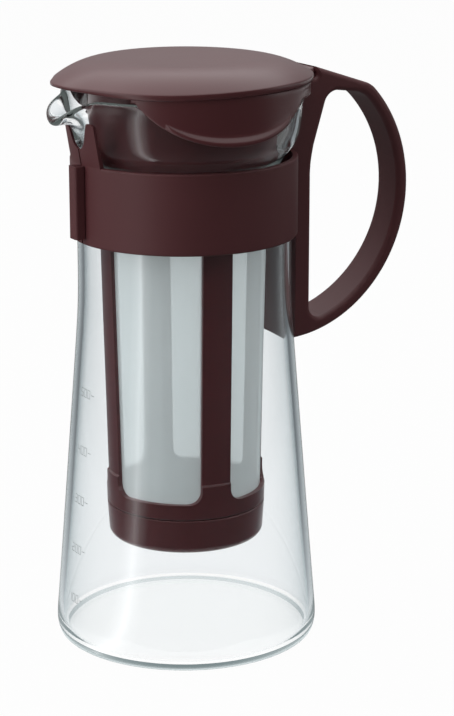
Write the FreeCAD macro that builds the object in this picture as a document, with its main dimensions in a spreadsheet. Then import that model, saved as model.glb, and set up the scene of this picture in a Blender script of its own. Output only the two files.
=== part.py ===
"""Cold brew coffee maker: glass jug, clip-on handle, lid and mesh strainer.

Millimetres, +Z up.  The origin is the middle of the jug's flat underside.
The handle points along +X and the spout along -X.
"""
import FreeCAD, Part
import Sketcher
import enum
import math
import os
from FreeCAD import Placement, Rotation, Vector

DRIVING = [
    # glass jug
    ("base_radius", 47.2, "outer radius at the foot"),
    ("foot_corner", 4.2, "rounding between wall and underside"),
    ("glass_wall", 2.2, "thickness of the blown wall"),
    ("glass_floor", 3.4, "thickness of the floor"),
    ("body_radius", 37.2, "outer radius of the straight upper body"),
    ("cone_top", 121.0, "height where the cone meets the straight body"),
    ("shoulder_z", 158.0, "height where the body starts to draw in"),
    ("waist_depth", 4.5, "how far the waist draws in from the straight body"),
    ("waist_z", 169.0, "height of the waist"),
    ("bowl_proud", 1.7, "how far the mouth bowl stands out where it turns upright"),
    ("bowl_low_z", 176.6, "height where the mouth bowl turns upright"),
    ("rim_proud", 4.2, "how far the mouth stands out from the straight body"),
    ("rim_z", 195.3, "height of the mouth"),
    ("bead_proud", 0.7, "how far the rolled rim stands out"),
    ("bead_height", 3.0, "height of the rolled rim"),
    ("bead_round", 1.0, "rounding of the rolled rim's outer edge"),
    ("cone_blend", 70.0, "rounding where the cone meets the straight body"),
    ("shoulder_round", 12.0, "rounding of the shoulder"),
    ("waist_round", 4.0, "rounding of the waist"),
    ("bowl_round", 6.0, "rounding where the mouth bowl turns upright"),
    ("spout_proud", 10.1, "how far the lip of the spout lies outside the mouth"),
    ("spout_set", 0.6, "how far the middle of the spout's bulge lies outside the mouth"),
    ("spout_half_width", 9.4, "half the outer width of the spout"),
    ("spout_depth", 8.8, "depth of the spout's bulge below the rim"),
    ("spout_length", 14.0, "length of the spout's bulge from its middle, before it is trimmed"),
    ("spout_drop", 6.7, "how far the lip lies below the rim"),
    # handle
    ("band_bottom", 145.0, "lower edge of the band"),
    ("band_top", 172.5, "upper edge of the band"),
    ("band_wall", 1.9, "thickness of the band"),
    ("band_edge", 0.6, "rounding of the band's outer edges"),
    ("band_gap", 0.2, "clearance between the glass and the handle"),
    ("handle_width", 18.4, "width of the handle across Y at the spine"),
    ("strap_width", 13.6, "width of the strap at its far side"),
    ("loop_shift", 0.3, "how far the centre of the loop's arc lies outside the straight body"),
    ("loop_centre_z", 154.9, "centre of the loop's arc, height"),
    ("loop_radius", 51.1, "outer radius of the loop"),
    ("loop_thickness", 4.4, "thickness of the strap"),
    ("spine_depth", 8.8, "distance from the straight body to the spine's outer face"),
    ("spine_gap", 2.3, "distance from the straight body to the spine's flat back below the band"),
    ("shelf_z", 196.6, "height of the step that the lid's tab lies over"),
    ("shelf_step", 2.2, "how far that step reaches past the spine's outer face"),
    ("crown_z", 200.3, "height of the handle behind the step"),
    ("crown_drop", 8.2, "how far the crown falls to its end"),
    ("crown_length", 25.0, "length of the crown's slope"),
    ("lean_z", 168.5, "height where the spine's face starts to lean out"),
    ("lean_reach", 7.4, "how far the spine's face leans out up to the hole's ceiling"),
    ("lean_fillet", 45.0, "rounding where the spine's face starts to lean"),
    ("hole_top", 191.9, "height of the finger hole's ceiling at the spine"),
    ("hole_top_fall", 3.0, "how far the ceiling falls over the crown's length"),
    ("hole_fillet", 5.5, "rounding of the finger hole under the crown"),
    ("hole_fillet_far", 10.0, "rounding where the ceiling meets the strap"),
    ("hole_fillet_low", 4.5, "rounding of the finger hole at its foot"),
    ("strap_edge", 1.7, "rounding of the strap's long edges"),
    ("shelf_edge", 1.0, "rounding of that step's upper edge"),
    ("prong_peak_z", 187.4, "height of the two prongs beside the spout"),
    ("prong_outer_y", 11.0, "half the width over both prongs"),
    ("prong_inner_y", 7.4, "half the distance between the prongs' tips"),
    ("prong_valley_y", 3.4, "half the width of the notch's floor between the prongs"),
    ("prong_valley_z", 178.2, "height of the notch's floor"),
    ("prong_fall", 0.6, "how far that floor falls towards the split"),
    ("prong_hollow", 6.0, "rounding of the notch's corners"),
    ("prong_round", 1.6, "rounding of the prongs' tips"),
    ("prong_wall", 0.9, "thickness of a prong beside the mouth bowl"),
    ("prong_root", 2.0, "how far the prongs reach down into the band"),
    ("split", 0.8, "gap between the band's ends under the spout"),
    ("flange_wall", 1.0, "thickness of each of the band's end flanges"),
    ("flange_proud", 2.4, "how far the flanges stand out from the band"),
    # clip
    ("clip_wall", 1.0, "thickness of the clip's walls"),
    ("clip_gap", 0.3, "clearance between the clip and the flanges"),
    ("clip_bottom", 147.2, "lower edge of the clip"),
    ("clip_top", 172.1, "upper edge of the clip"),
    ("clip_floor", 1.2, "thickness of the clip's closed foot"),
    # lid
    ("lid_overhang", 3.2, "how far the lid's disc reaches out over the mouth"),
    ("lid_edge_bottom", 197.5, "underside of the disc at its edge"),
    ("lid_edge", 2.0, "thickness of the disc at its edge"),
    ("lid_wall", 2.2, "thickness of the dome"),
    ("lid_rise", 9.5, "height of the dome's raised ring above the disc's underside"),
    ("ring_inset", 20.6, "distance from the disc's edge in to the dome's raised ring"),
    ("dish_inset", 6.0, "distance from that ring in to the shallow dish"),
    ("dish_depth", 0.8, "depth of the dish"),
    ("tip_proud", 6.4, "how far the lid's sharp outline reaches past its disc over the spout"),
    ("lid_tip_round", 6.0, "rounding of that point"),
    ("shoulder_inset", 7.6, "distance from the disc's edge in to where the dome starts to fall off"),
    ("shoulder_drop", 2.7, "how far the dome lies below its ring there"),
    ("dome_round", 30.0, "rounding of the dome's outside where it starts to fall off"),
    ("dome_round_inside", 12.0, "rounding of the dome's inside there"),
    ("ring_round", 6.0, "rounding of the dome's raised ring"),
    ("ring_round_inside", 20.0, "rounding of the dome's inside under that ring"),
    ("ring_relief", 0.6, "how much thicker the dome is under its raised ring"),
    ("dish_round", 12.0, "rounding at the dish's edge"),
    ("brim_width", 1.4, "width of the flat brim round the dome"),
    ("brim_rise", 0.9, "how far the brim climbs up to the dome"),
    ("brim_round", 6.0, "rounding between the dome and the brim"),
    ("brim_round_inside", 2.0, "rounding under the brim"),
    ("tab_proud", 2.8, "how far the lid's tab reaches past the disc"),
    ("tab_half_width", 8.4, "half the width of the lid's tab"),
    ("tab_overlap", 6.0, "how far the tab reaches in over the disc"),
    ("tab_corner", 1.5, "rounding of the tab's corners"),
    ("skirt_gap", 0.5, "clearance between the rolled rim and the skirts"),
    ("skirt_wall", 1.2, "thickness of the skirts"),
    ("skirt_taper", 0.6, "how far the skirts stand out more where they meet the disc"),
    ("skirt_end_top", -33.9, "front end of the skirts at the disc, along X"),
    ("skirt_end_low", -24.6, "front end of the skirts at the lip, along X"),
    ("apron_bottom", 193.8, "lower edge of the low wall at the handle's side"),
    ("apron_start", 20.0, "where that low wall starts, along X"),
    ("skirt_blend", 10.0, "rounding where the skirts start to taper"),
    ("skirt_end_round", 3.0, "rounding at the front end of the lip"),
    ("lip_flare", 1.6, "how far the skirts' lower lip flares out"),
    ("skirt_bottom", 182.0, "lowest point of the skirts"),
    ("smile_radius", 50.0, "radius of the skirts' curved lower edge"),
    ("smile_shift", -3.0, "shift of that curve along X"),
    ("lip_height", 2.6, "height of the skirts' lip"),
    ("lip_edge", 0.8, "rounding of the lip's lower edge"),
    ("plug_gap", 0.7, "clearance between the lid's ring and the top of the strainer's cup"),
    ("plug_wall", 1.4, "thickness of the lid's ring"),
    ("plug_depth", 11.0, "how far the lid's ring reaches down"),
    # strainer
    ("strainer_turn", -6.0, "how far the strainer is turned about its axis, degrees"),
    ("seat_gap", 0.3, "clearance between pieces that rest on each other"),
    ("cup_proud", 0.3, "how far the top of the strainer's cup lies outside the jug's waist"),
    ("cup_foot_inset", 0.8, "how far the cup above its seat lies inside the jug's waist"),
    ("cup_foot_z", 171.7, "height of the cup's seat"),
    ("cup_wall", 1.4, "thickness of the cup"),
    ("seat_round", 1.0, "rounding of the cup's seat"),
    ("collar_inset", 2.9, "how far the strainer's collar lies inside the jug's waist"),
    ("collar_wall", 2.2, "thickness of the collar and the ribs"),
    ("window_corner", 4.5, "rounding of the windows' lower corners"),
    ("window_top", 158.0, "upper edge of the mesh windows"),
    ("window_bottom", 54.5, "lower edge of the mesh windows"),
    ("basket_taper", 2.2, "how far the basket draws in down to the windows' lower edge"),
    ("ring_proud", 0.6, "how far the bottom ring stands out from the ribs"),
    ("ring_top", 61.5, "height where the bottom ring meets the ribs"),
    ("ring_edge", 0.5, "rounding of the edges along the seam"),
    ("rib_width", 10.6, "width of the four ribs"),
    ("mesh_inset", 1.1, "how far the mesh lies inside the ribs' outer face"),
    ("mesh_thickness", 0.5, "thickness of the mesh"),
    ("seam_z", 49.0, "height of the seam above the cap"),
    ("cap_bottom", 36.3, "underside of the cap"),
    ("cap_taper", 0.3, "how far the cap draws in more down to its underside"),
    ("cap_corner", 2.6, "rounding of the cap's lower edge"),
    ("cap_corner_inside", 1.5, "rounding inside the cap"),
    ("cap_wall", 1.8, "thickness of the cap"),
    ("spigot_height", 4.0, "height of the cap's ring inside the basket"),
    ("spigot_gap", 0.3, "clearance of that ring"),
    # tools
    ("beyond", 5.0, "how far a cutting tool reaches past what it cuts"),
]
SAME = 0.02


class Size:
    """A number together with the sheet expression that gives it."""

    def __init__(self, value, text):
        self.value = float(value)
        self.text = text

    def __add__(self, other):
        other = size(other)
        return Size(self.value + other.value, "(%s + %s)" % (self.text, other.text))

    def __sub__(self, other):
        other = size(other)
        return Size(self.value - other.value, "(%s - %s)" % (self.text, other.text))

    def __mul__(self, other):
        other = size(other)
        return Size(self.value * other.value, "(%s * %s)" % (self.text, other.text))

    def __truediv__(self, other):
        other = size(other)
        return Size(self.value / other.value, "(%s / %s)" % (self.text, other.text))

    def __neg__(self):
        return Size(-self.value, "(0 - %s)" % self.text)

    def root(self):
        """The length whose square this is."""
        return Size(math.sqrt(self.value), "sqrt(%s)" % self.text)

    __radd__ = __add__

    def __rsub__(self, other):
        return size(other) - self


def size(value):
    """A Size from a Size or a plain number."""
    return value if isinstance(value, Size) else Size(value, repr(float(value)))


class Dimensions:
    """The driving sizes by name, each bound to its cell, and the radii that follow from them."""

    def __init__(self, sheet):
        for row, (name, value, meaning) in enumerate(DRIVING, start=1):
            sheet.set("A%d" % row, meaning)
            sheet.set("B%d" % row, str(value))
            sheet.setAlias("B%d" % row, name)
            setattr(self, name, Size(value, "%s.%s" % (sheet.Name, name)))
        self.waist_radius = self.body_radius - self.waist_depth
        self.bowl_low_radius = self.body_radius + self.bowl_proud
        self.rim_radius = self.body_radius + self.rim_proud
        self.spout_reach = self.rim_radius + self.spout_proud
        self.spout_root = self.rim_radius + self.spout_set
        self.loop_centre_x = self.body_radius + self.loop_shift
        self.spine_face = self.body_radius + self.spine_depth
        self.spine_back = self.body_radius + self.spine_gap
        self.lid_radius = self.rim_radius + self.lid_overhang
        self.lid_tip = self.lid_radius + self.tip_proud
        self.tab_reach = self.lid_radius + self.tab_proud
        self.brim_radius = self.lid_radius - self.brim_width
        self.shoulder_radius = self.lid_radius - self.shoulder_inset
        self.dome_ring = self.lid_radius - self.ring_inset
        self.dish_radius = self.dome_ring - self.dish_inset
        self.cup_radius = self.waist_radius + self.cup_proud
        self.cup_foot_radius = self.waist_radius - self.cup_foot_inset
        self.collar_radius = self.waist_radius - self.collar_inset
        self.basket_foot_radius = self.collar_radius - self.basket_taper
        self.cap_foot_radius = self.basket_foot_radius - self.cap_taper


# ------------------------------------------------------------------ drawing
XZ = Rotation(Vector(1, 0, 0), 90)
YZ = Rotation(Vector(0.5, 0.5, 0.5), 120)
Spot = enum.IntEnum("Spot", "START END")


def corner_arc(before, at, after, radius):
    """Touch points, centre and turning sense of a rounding at a corner."""
    back = (before - at).normalize()
    ahead = (after - at).normalize()
    half = math.acos(max(-1.0, min(1.0, back.dot(ahead)))) / 2
    reach = radius / math.tan(half)
    centre = at + (back + ahead).normalize() * (radius / math.sin(half))
    turns_left = (at - before).cross(after - at).z > 0
    return at + back * reach, at + ahead * reach, centre, turns_left


def draw(sketch, corners):
    """Draw a closed outline: each corner is (across, up) or (across, up, rounding)."""
    corners = [tuple(size(part) for part in corner) for corner in corners]
    spots = [Vector(corner[0].value, corner[1].value, 0) for corner in corners]
    count = len(corners)
    arcs = {}
    for i, corner in enumerate(corners):
        if len(corner) == 3:
            arcs[i] = corner_arc(spots[i - 1], spots[i], spots[(i + 1) % count], corner[2].value)
    for i in range(count):
        following = (i + 1) % count
        first = arcs[i][1] if i in arcs else spots[i]
        last = arcs[following][0] if following in arcs else spots[following]
        sketch.addGeometry(Part.LineSegment(first, last), False)
    for i, corner in enumerate(corners):
        before = (i - 1) % count
        if i in arcs:
            bind_rounded(sketch, arcs[i], corner, spots[i], before, i)
        else:
            sketch.addConstraint(Sketcher.Constraint("Coincident", before, Spot.END, i, Spot.START))
            bind_spot(sketch, i, Spot.START, corner)


def bind_spot(sketch, shape, spot, corner):
    """Hold a point at sizes from the sheet."""
    for kind, length in (("DistanceX", corner[0]), ("DistanceY", corner[1])):
        index = sketch.addConstraint(Sketcher.Constraint(kind, -1, Spot.START, shape, spot, length.value))
        sketch.setExpression("Constraints[%d]" % index, length.text)


def bind_rounded(sketch, arc, corner, spot, before, after):
    """Round a corner and hold its sharp point and its radius at sizes from the sheet."""
    touch_in, touch_out, centre, turns_left = arc
    first, last = (touch_in, touch_out) if turns_left else (touch_out, touch_in)
    begin = math.atan2(first.y - centre.y, first.x - centre.x)
    finish = math.atan2(last.y - centre.y, last.x - centre.x)
    circle = Part.Circle(centre, Vector(0, 0, 1), corner[2].value)
    curve = sketch.addGeometry(Part.ArcOfCircle(circle, begin, finish), False)
    sharp = sketch.addGeometry(Part.Point(spot), True)
    near, far = (Spot.START, Spot.END) if turns_left else (Spot.END, Spot.START)
    sketch.addConstraint([
        Sketcher.Constraint("Tangent", before, Spot.END, curve, near),
        Sketcher.Constraint("Tangent", curve, far, after, Spot.START),
        Sketcher.Constraint("PointOnObject", sharp, Spot.START, before),
        Sketcher.Constraint("PointOnObject", sharp, Spot.START, after),
    ])
    bind_spot(sketch, sharp, Spot.START, corner)
    index = sketch.addConstraint(Sketcher.Constraint("Radius", curve, corner[2].value))
    sketch.setExpression("Constraints[%d]" % index, corner[2].text)


def free_sketch(name, turn, corners):
    """A sketch of its own, standing in one of the global planes."""
    sketch = doc.addObject("Sketcher::SketchObject", name)
    sketch.Placement = Placement(Vector(0, 0, 0), turn)
    draw(sketch, corners)
    return sketch


def body_sketch(body, name, plane, corners):
    """A sketch on one of its body's own origin planes."""
    sketch = body.newObject("Sketcher::SketchObject", name)
    sketch.AttachmentSupport = [(origin_item(body, plane), "")]
    sketch.MapMode = "FlatFace"
    draw(sketch, corners)
    return sketch


def origin_item(body, role):
    """The plane or axis of a body's origin that has this role."""
    return next(item for item in body.Origin.OriginFeatures if item.Role == role)


def revolved(name, corners):
    """A full turn about Z of an outline given as (radius, height)."""
    turned = doc.addObject("Part::Revolution", name)
    turned.Source = free_sketch(name + "_outline", XZ, corners)
    turned.Axis = Vector(0, 0, 1)
    turned.Base = Vector(0, 0, 0)
    turned.Angle = 360
    turned.Solid = True
    return turned


def extruded(name, turn, corners, length):
    """A plate of an outline in the XZ or YZ plane, with its middle on that plane."""
    plate = doc.addObject("Part::Extrusion", name)
    plate.Base = free_sketch(name + "_outline", turn, corners)
    plate.DirMode = "Normal"
    plate.Solid = True
    plate.Symmetric = True
    bind(plate, "LengthFwd", length)
    return plate


def bind(item, path, length):
    """Set a property from the sheet."""
    item.setExpression(path, size(length).text)


def cylinder_across(name, radius, width, x, z):
    """A cylinder along Y, centred on the XZ plane."""
    roller = doc.addObject("Part::Cylinder", name)
    bind(roller, "Radius", radius)
    bind(roller, "Height", width)
    roller.Placement = Placement(Vector(0, 0, 0), XZ)
    bind(roller, "Placement.Base.x", x)
    bind(roller, "Placement.Base.y", size(width) / 2)
    bind(roller, "Placement.Base.z", z)
    return roller


def common(name, base, tool):
    """What two solids share."""
    shared = doc.addObject("Part::Common", name)
    shared.Base = base
    shared.Tool = tool
    return shared


def cut(name, base, tool):
    """The first solid without the second."""
    rest = doc.addObject("Part::Cut", name)
    rest.Base = base
    rest.Tool = tool
    return rest


def fused(name, *items):
    """Several solids as one."""
    whole = doc.addObject("Part::MultiFuse", name)
    whole.Shapes = list(items)
    whole.Refine = True
    return whole


def filleted(name, base, choices):
    """Round the edges that each test picks, by the radius that goes with it."""
    doc.recompute()
    rounded = doc.addObject("Part::Fillet", name)
    rounded.Base = base
    edges = []
    for picks, radius in choices:
        for index, edge in enumerate(base.Shape.Edges, start=1):
            if picks(edge):
                edges.append((index, radius.value, radius.value))
    rounded.Edges = edges
    return rounded


def edge_middle(edge):
    """The point halfway along an edge."""
    return edge.valueAt((edge.FirstParameter + edge.LastParameter) / 2)


# ------------------------------------------------------------------ glass jug
def jug_outline(d, gap):
    """Outer wall of the jug up to its mouth, moved out by a gap: (radius, height) from foot to rim."""
    return [
        (d.base_radius + gap, 0 - size(gap), d.foot_corner),
        (d.body_radius + gap, d.cone_top, d.cone_blend),
        (d.body_radius + gap, d.shoulder_z, d.shoulder_round),
        (d.waist_radius + gap, d.waist_z, d.waist_round),
        (d.bowl_low_radius + gap, d.bowl_low_z - gap, d.bowl_round),
        (d.rim_radius + gap, d.rim_z - d.bead_height),
    ]


def carafe(d):
    """Conical jug with a waist, a bowl-shaped mouth with a rolled rim, and a spout."""
    bead_radius = d.rim_radius + d.bead_proud
    outer = revolved("jug_outside", [(0, 0)] + jug_outline(d, 0) + [
        (bead_radius, d.rim_z - d.bead_height + d.bead_proud),
        (bead_radius, d.rim_z, d.bead_round),
        (0, d.rim_z),
    ])
    wall = d.glass_wall
    inner = revolved("jug_inside", [
        (0, d.glass_floor),
        (d.base_radius - wall, d.glass_floor, d.foot_corner),
        (d.body_radius - wall, d.cone_top, d.cone_blend),
        (d.body_radius - wall, d.shoulder_z, d.shoulder_round - wall),
        (d.waist_radius - wall, d.waist_z, d.waist_round + wall),
        (d.bowl_low_radius - wall, d.bowl_low_z + wall / 2, d.bowl_round - wall),
        (d.rim_radius - wall, d.rim_z + d.beyond),
        (0, d.rim_z + d.beyond),
    ])
    bulge = spout_bulge("spout_outside", d, 0)
    hollow = spout_bulge("spout_inside", d, wall)
    mouth_slope = d.spout_drop / (d.spout_reach - d.rim_radius)
    past_lip = d.spout_root + d.spout_length + d.beyond
    over = extruded("spout_trim", XZ, [
        (-d.rim_radius, d.rim_z),
        (0, d.rim_z),
        (0, d.rim_z + d.spout_length),
        (-past_lip, d.rim_z + d.spout_length),
        (-past_lip, d.rim_z - mouth_slope * (past_lip - d.rim_radius)),
    ], d.rim_radius * 2)
    return cut("jug_walled", fused("jug_solid", outer, cut("spout_trimmed", bulge, over)),
               fused("jug_hollow", inner, hollow))


def spout_bulge(name, d, inset):
    """Half-buried ellipsoid that forms the spout, or its hollow when it is inset."""
    egg = doc.addObject("Part::Ellipsoid", name)
    egg.Angle1 = -90
    egg.Angle2 = 90
    bind(egg, "Radius2", d.spout_length - inset)
    bind(egg, "Radius3", d.spout_half_width - inset)
    bind(egg, "Radius1", d.spout_depth - inset)
    bind(egg, "Placement.Base.x", -d.spout_root)
    bind(egg, "Placement.Base.z", d.rim_z)
    return egg


# ------------------------------------------------------------------ handle
def band_ring(d):
    """Band round the neck."""
    inside = d.body_radius + d.band_gap
    return revolved("band_ring", [
        (inside, d.band_bottom),
        (inside + d.band_wall, d.band_bottom, d.band_edge),
        (inside + d.band_wall, d.band_top, d.band_edge),
        (inside, d.band_top),
    ])


def prongs(d, clear):
    """Two leaning prongs that cradle the spout, cleared of the glass."""
    foot = d.body_radius + d.band_gap
    low = d.band_top - d.prong_root
    outside = d.band_gap + d.prong_wall
    leaning = revolved("prong_ring", [
        (foot, low),
        (foot + d.band_wall, low),
        (foot + d.band_wall, d.band_top),
        (d.bowl_low_radius + outside, d.bowl_low_z),
        (d.rim_radius + outside, d.rim_z - d.bead_height),
        (d.rim_radius, d.rim_z - d.bead_height),
        (d.bowl_low_radius, d.bowl_low_z),
    ])
    fins = []
    for side, word in ((1, "far"), (-1, "near")):
        corners = [
            (d.prong_outer_y * side, low),
            (d.prong_outer_y * side, d.prong_peak_z, d.prong_round),
            (d.prong_inner_y * side, d.prong_peak_z, d.prong_round),
            (d.prong_valley_y * side, d.prong_valley_z, d.prong_hollow),
            (d.split / 2 * side, d.prong_valley_z - d.prong_fall),
            (d.split / 2 * side, low),
        ]
        fins.append(one_sided("prong_fin_" + word, corners if side < 0 else corners[::-1],
                              d.spout_reach + d.beyond))
    return cut("prongs_cleared", common("prongs", leaning, fused("prong_fins", *fins)), clear)


def one_sided(name, corners, length):
    """A plate of an outline in the YZ plane that reaches along -X."""
    plate = doc.addObject("Part::Extrusion", name)
    plate.Base = free_sketch(name + "_outline", YZ, corners)
    plate.DirMode = "Custom"
    plate.Dir = Vector(-1, 0, 0)
    plate.Solid = True
    bind(plate, "LengthFwd", length)
    return plate


def end_flanges(d):
    """Two flanges that stand out from the band's ends under the spout."""
    foot = d.body_radius + d.band_gap
    plates = []
    for side, word in ((1, "far"), (-1, "near")):
        plate = doc.addObject("Part::Box", "flange_" + word)
        bind(plate, "Length", d.band_wall + d.flange_proud)
        bind(plate, "Width", d.flange_wall)
        bind(plate, "Height", d.clip_top - d.clip_bottom - d.clip_floor - d.clip_gap)
        bind(plate, "Placement.Base.x", -foot - d.band_wall - d.flange_proud)
        start = d.split / 2 if side > 0 else -d.split / 2 - d.flange_wall
        bind(plate, "Placement.Base.y", start)
        bind(plate, "Placement.Base.z", d.clip_bottom + d.clip_floor + d.clip_gap)
        plates.append(plate)
    return fused("end_flanges", *plates)


def loop(d):
    """Spine along the jug and the round strap that leaves it at top and bottom."""
    far = d.loop_centre_x + d.loop_radius + d.beyond
    low = d.loop_centre_z - d.loop_radius - d.beyond
    root = d.waist_radius
    slope_end = shelf_back(d) + d.crown_length
    fall = d.crown_drop / d.crown_length
    outline = extruded("loop_outline", XZ, [
        (root, low),
        (far, low),
        (far, d.crown_z - fall * (far - shelf_back(d))),
        (shelf_back(d), d.crown_z),
        (shelf_back(d), d.shelf_z, d.shelf_edge),
        (root, d.shelf_z),
    ], d.handle_width * 2)
    disc = cylinder_across("loop_disc", d.loop_radius, d.handle_width * 2, d.loop_centre_x, d.loop_centre_z)
    wedge = extruded_up("strap_wedge", [
        (root, -half_width(d, root)),
        (far, -half_width(d, far)),
        (far, half_width(d, far)),
        (root, half_width(d, root)),
    ], low, (d.loop_radius + d.beyond) * 2)
    blank = common("loop_blank", common("loop_flat", disc, outline), wedge)
    ceiling_end = d.hole_top - d.hole_top_fall / d.crown_length * (far - d.spine_face)
    hole_outline = extruded("hole_outline", XZ, [
        (d.spine_face, low),
        (far, low),
        (far, ceiling_end),
        (d.spine_face + d.lean_reach, d.hole_top, d.hole_fillet),
        (d.spine_face, d.lean_z, d.lean_fillet),
    ], d.handle_width * 2)
    hole_disc = cylinder_across("hole_disc", d.loop_radius - d.loop_thickness, d.handle_width * 2,
                                d.loop_centre_x, d.loop_centre_z)
    hole = filleted("finger_hole", common("hole_blank", hole_disc, hole_outline), [
        (lambda edge: runs_along_y(edge) and near_x(edge, d.spine_face)
         and not above(edge, d.loop_centre_z), d.hole_fillet_low),
        (lambda edge: runs_along_y(edge) and above(edge, d.loop_centre_z)
         and edge_middle(edge).x > (d.spine_face + d.crown_length / 2).value, d.hole_fillet_far),
    ])
    crown = filleted("loop_softened", blank, [
        (lambda edge: runs_along_y(edge) and above(edge, d.loop_centre_z)
         and edge_middle(edge).x > (shelf_back(d) + d.beyond).value, d.hole_fillet_far),
    ])
    strap = cut("loop_holed", crown, hole)
    return filleted("loop_rounded", strap, [
        (lambda edge: on_side(edge, d) and not near_x(edge, shelf_back(d)) and not near_x(edge, root),
         d.strap_edge),
    ])


def runs_along_y(edge):
    """Whether an edge is a straight line across the handle."""
    box = edge.BoundBox
    return box.YLength > SAME and box.XLength < SAME and box.ZLength < SAME


def shelf_back(d):
    """Distance from the axis to the back of the step that the lid's tab lies over."""
    return d.spine_face + d.shelf_step


def lid_top(d):
    """Height of the dome's raised ring."""
    return d.lid_edge_bottom + d.lid_rise


def half_width(d, x):
    """Half the width of the handle at a distance from the axis; it tapers towards the strap's far side."""
    taper = (d.handle_width - d.strap_width) / (d.loop_centre_x + d.loop_radius - d.spine_face)
    return (d.handle_width - taper * (size(x) - d.spine_face)) / 2


def on_side(edge, d):
    """Whether an edge bounds one of the handle's two side faces."""
    middle = edge_middle(edge)
    return abs(abs(middle.y) - half_width(d, middle.x).value) < SAME and not runs_along_y(edge)


def near_x(edge, x):
    """Whether an edge lies at this distance from the axis."""
    return abs(edge_middle(edge).x - x.value) < SAME


def above(edge, z):
    """Whether an edge lies above this height."""
    return edge_middle(edge).z > z.value


def handle_band(d):
    """Band, prongs, flanges and loop in one moulding, cleared of the glass."""
    gap = d.band_gap
    clear = revolved("glass_clearance", [(0, -d.beyond), (d.base_radius + gap, -d.beyond)]
                     + jug_outline(d, gap)[1:] + [
        (d.rim_radius + d.bead_proud + gap, d.rim_z - d.bead_height + d.bead_proud - gap),
        (d.rim_radius + d.bead_proud + gap, d.rim_z + d.beyond),
        (0, d.rim_z + d.beyond),
    ])
    slit = doc.addObject("Part::Box", "band_split")
    bind(slit, "Length", d.spout_reach)
    bind(slit, "Width", d.split)
    bind(slit, "Height", d.band_top - d.band_bottom + d.beyond * 2)
    bind(slit, "Placement.Base.x", -d.spout_reach)
    bind(slit, "Placement.Base.y", -d.split / 2)
    bind(slit, "Placement.Base.z", d.band_bottom - d.beyond)
    below = doc.addObject("Part::Box", "spine_back_cut")
    bind(below, "Length", d.spine_back)
    bind(below, "Width", d.handle_width * 2)
    bind(below, "Height", d.band_bottom)
    bind(below, "Placement.Base.y", -d.handle_width)
    spine = cut("spine_fitted", cut("spine_cleared", loop(d), below), clear)
    band = cut("band_open", band_ring(d), slit)
    return fused("handle_moulding", band, spine, end_flanges(d), prongs(d, clear))


# ------------------------------------------------------------------ clip
def band_clip(d):
    """Channel, closed at its foot, that slides up over the band's two flanges."""
    body = doc.addObject("PartDesign::Body", "clip_body")
    face = d.body_radius + d.band_gap + d.band_wall
    reach = face + d.flange_proud + d.clip_gap + d.clip_wall
    inner = d.split / 2 + d.flange_wall + d.clip_gap
    outer = inner + d.clip_wall
    back = face + d.clip_gap
    foot = d.body_radius
    corner = d.clip_wall
    block = body_sketch(body, "clip_outline", "XY_Plane", [
        (-reach, -outer, corner), (-back, -outer), (-back, outer), (-reach, outer, corner)])
    solid = body.newObject("PartDesign::Pad", "clip_block")
    solid.Profile = block
    bind(solid, "Length", d.clip_top)
    hollow = body_sketch(body, "hollow_outline", "XY_Plane", [
        (-reach + d.clip_wall, -inner), (-foot, -inner), (-foot, inner), (-reach + d.clip_wall, inner)])
    channel = body.newObject("PartDesign::Pocket", "clip_channel")
    channel.Profile = hollow
    channel.Reversed = True
    bind(channel, "Length", d.clip_top)
    closing = body_sketch(body, "floor_outline", "XY_Plane", [
        (-reach + d.clip_wall / 2, -outer + d.clip_wall / 2), (-back, -outer + d.clip_wall / 2),
        (-back, outer - d.clip_wall / 2), (-reach + d.clip_wall / 2, outer - d.clip_wall / 2)])
    floor = body.newObject("PartDesign::Pad", "clip_floor_pad")
    floor.Profile = closing
    bind(floor, "Length", d.clip_bottom + d.clip_floor)
    under = body_sketch(body, "foot_outline", "XY_Plane", [
        (-reach - corner, -outer - corner), (-foot, -outer - corner),
        (-foot, outer + corner), (-reach - corner, outer + corner)])
    foot_cut = body.newObject("PartDesign::Pocket", "foot_cut")
    foot_cut.Profile = under
    foot_cut.Reversed = True
    bind(foot_cut, "Length", d.clip_bottom)
    return body


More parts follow.
